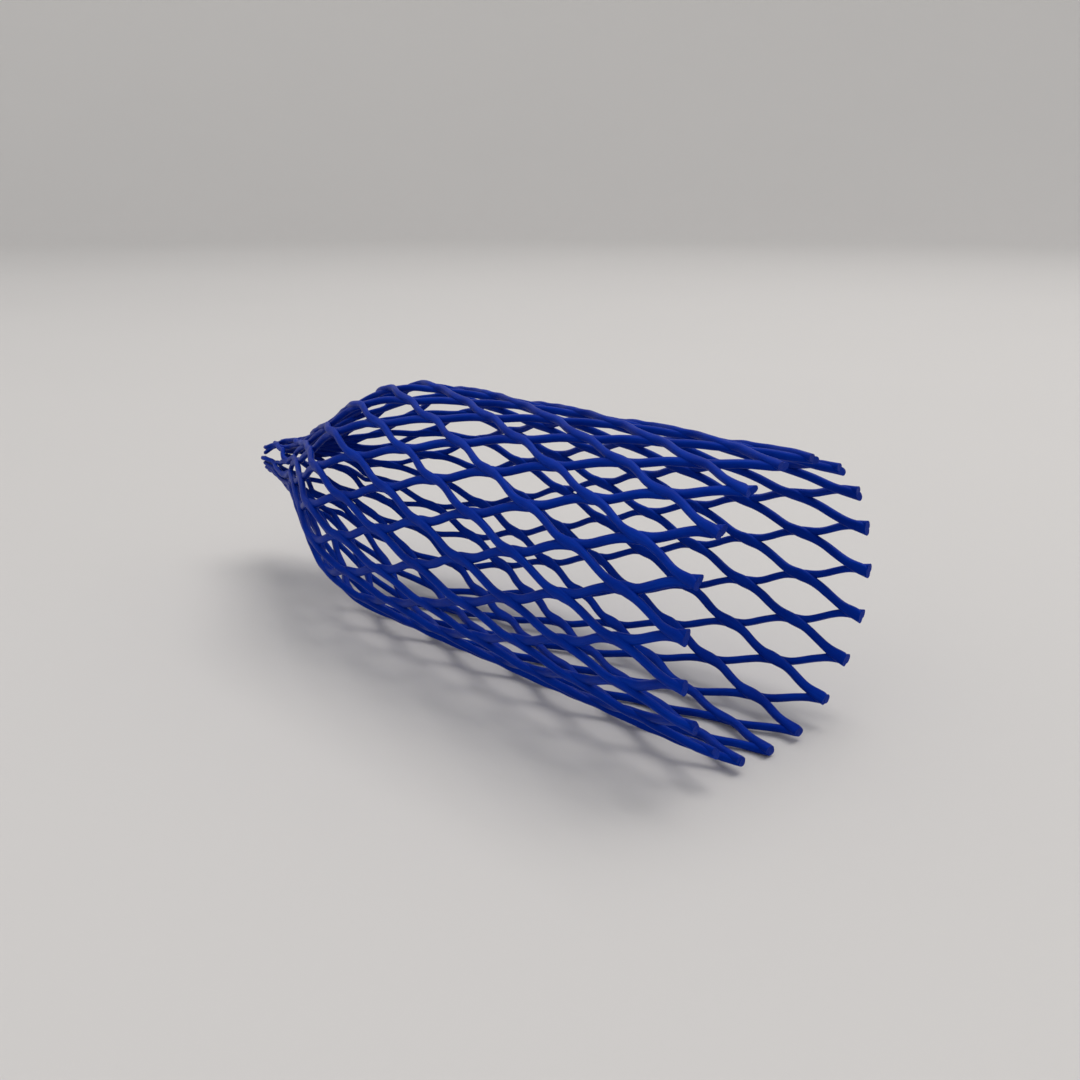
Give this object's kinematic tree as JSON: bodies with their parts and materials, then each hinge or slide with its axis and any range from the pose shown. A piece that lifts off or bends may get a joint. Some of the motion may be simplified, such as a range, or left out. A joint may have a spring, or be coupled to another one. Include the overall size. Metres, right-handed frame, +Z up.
{
  "type": "mesh tree guard sleeve",
  "caption": "Stretched diamond-mesh plastic sleeve of two counter-wound strand layers, open at the mouth and gathered at the far end, that guards a stem or other round item.",
  "frame": {"origin": "centre of the underside of the whole sleeve, on the surface it lies on", "axes": "+X along the sleeve towards its open mouth, +Z up, the sleeve lying on its side"},
  "size_m": [0.18, 0.0608, 0.0601],
  "materials": {
    "mesh_plastic": "satin, deep blue"
  },
  "bodies": {
    "root": {"outer_strand_01": "mesh_plastic", "outer_strand_02": "mesh_plastic", "outer_strand_03": "mesh_plastic", "outer_strand_04": "mesh_plastic", "outer_strand_05": "mesh_plastic", "outer_strand_06": "mesh_plastic", "outer_strand_07": "mesh_plastic", "outer_strand_08": "mesh_plastic", "outer_strand_09": "mesh_plastic", "outer_strand_10": "mesh_plastic", "outer_strand_11": "mesh_plastic", "outer_strand_12": "mesh_plastic", "outer_strand_13": "mesh_plastic", "outer_strand_14": "mesh_plastic", "outer_strand_15": "mesh_plastic", "outer_strand_16": "mesh_plastic", "outer_strand_17": "mesh_plastic", "outer_strand_18": "mesh_plastic", "outer_strand_19": "mesh_plastic", "inner_strand_01": "mesh_plastic", "inner_strand_02": "mesh_plastic", "inner_strand_03": "mesh_plastic", "inner_strand_04": "mesh_plastic", "inner_strand_05": "mesh_plastic", "inner_strand_06": "mesh_plastic", "inner_strand_07": "mesh_plastic", "inner_strand_08": "mesh_plastic", "inner_strand_09": "mesh_plastic", "inner_strand_10": "mesh_plastic", "inner_strand_11": "mesh_plastic", "inner_strand_12": "mesh_plastic", "inner_strand_13": "mesh_plastic", "inner_strand_14": "mesh_plastic", "inner_strand_15": "mesh_plastic", "inner_strand_16": "mesh_plastic", "inner_strand_17": "mesh_plastic", "inner_strand_18": "mesh_plastic", "inner_strand_19": "mesh_plastic"}
  },
  "joints": []
}
